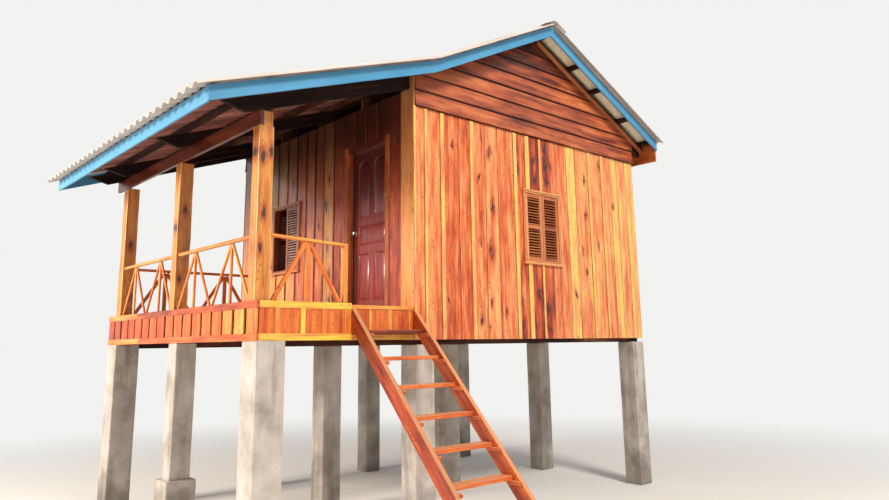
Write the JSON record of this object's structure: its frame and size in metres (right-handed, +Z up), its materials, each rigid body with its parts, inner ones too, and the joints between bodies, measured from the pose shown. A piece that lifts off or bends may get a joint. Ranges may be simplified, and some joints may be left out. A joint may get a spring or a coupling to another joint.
{
  "type": "stilt house",
  "caption": "Small timber cabin with a gabled corrugated roof and an open porch, raised on square concrete piers, with a ladder up to the porch.",
  "frame": {"origin": "centre of the bounding box at ground level, under the piers", "axes": "+Z up; +X from the porch side to the back wall; +Y along the ridge, away from the ladder"},
  "size_m": [7.4912, 6.798, 6.3279],
  "materials": {
    "concrete": "cast, bare",
    "fibre_cement": "weathered corrugated sheet",
    "blue_paint_on_wood": "gloss paint",
    "dark_varnished_wood": "gloss varnish",
    "steel": "satin",
    "dark_rough_wood": "rough sawn, stained",
    "yellow_varnished_wood": "varnish",
    "brown_varnished_wood": "varnish",
    "orange_varnished_wood": "varnish"
  },
  "bodies": {
    "house": {"concrete_piers": "concrete", "floor_bearers": "dark_rough_wood", "floor_joists": "dark_rough_wood", "room_floor": "brown_varnished_wood", "porch_floor": "brown_varnished_wood", "left_skirt": "brown_varnished_wood", "end_skirts": "yellow_varnished_wood", "ladder_skirt": "orange_varnished_wood", "ladder_stringers": "orange_varnished_wood", "ladder_treads": "orange_varnished_wood", "wall_posts": "dark_rough_wood", "wall_plates": "dark_rough_wood", "gable_walls": "orange_varnished_wood", "gable_tops": "orange_varnished_wood", "back_wall": "orange_varnished_wood", "front_wall_near": "brown_varnished_wood", "front_wall_far": "brown_varnished_wood", "front_wall_head": "brown_varnished_wood", "door_frame": "orange_varnished_wood", "hinge_pins": "steel", "gable_window_frames": "orange_varnished_wood", "gable_window_shutters": "orange_varnished_wood", "front_window_frame": "orange_varnished_wood", "front_window_shutters": "orange_varnished_wood", "house_rafters": "dark_rough_wood", "porch_rafters": "dark_rough_wood", "roof_purlins": "dark_rough_wood", "eave_beam": "brown_varnished_wood", "porch_posts": "yellow_varnished_wood", "barge_boards": "blue_paint_on_wood", "porch_fascia": "blue_paint_on_wood", "back_fascia": "orange_varnished_wood", "back_roof_sheets": "fibre_cement", "front_roof_sheets": "fibre_cement", "porch_roof_sheets": "fibre_cement", "ridge_cap": "fibre_cement", "left_railing": "brown_varnished_wood", "near_railing": "brown_varnished_wood", "far_railing": "brown_varnished_wood"},
    "door": {"front_door": "dark_varnished_wood", "door_knobs": "steel", "door_hinges": "steel"}
  },
  "joints": [
    {"name": "door_hinge", "type": "hinge", "parent": "house", "child": "door", "pos_m": [-0.89205, -0.6215, 2.406], "axis": [0, 0, -1], "range_deg": [0, 90]}
  ]
}
